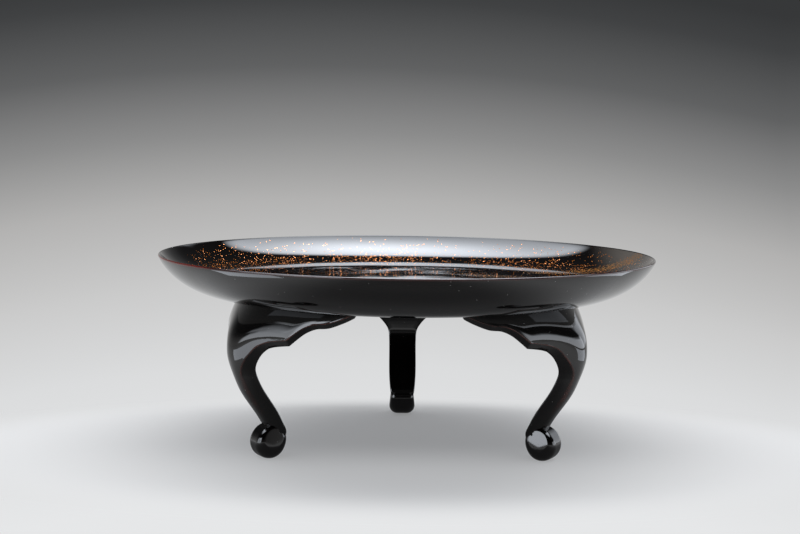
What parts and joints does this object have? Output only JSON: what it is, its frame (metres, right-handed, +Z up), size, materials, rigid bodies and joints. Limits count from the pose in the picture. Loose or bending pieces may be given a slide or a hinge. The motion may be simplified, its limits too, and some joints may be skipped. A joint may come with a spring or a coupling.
{
  "type": "lacquer offering stand",
  "caption": "Shallow round lacquered dish raised on carved cabriole legs that end in small scroll feet.",
  "frame": {"origin": "on the ground under the middle of the dish", "axes": "+Z up along the dish's axis; +Y towards the foot of the leg at the back"},
  "size_m": [0.303, 0.303, 0.1175],
  "materials": {
    "black_lacquer": "deep gloss black lacquer over wood, worn to a dark red line at its edges, with sprinkled gold flakes inside the dish",
    "bamboo": "bare bamboo, hidden in the joint"
  },
  "bodies": {
    "root": {"dish": "black_lacquer", "leg_left_front": "black_lacquer", "leg_right_front": "black_lacquer", "leg_back": "black_lacquer", "peg_left_front_a": "bamboo", "peg_left_front_b": "bamboo", "peg_right_front_a": "bamboo", "peg_right_front_b": "bamboo", "peg_back_a": "bamboo", "peg_back_b": "bamboo"}
  },
  "joints": []
}
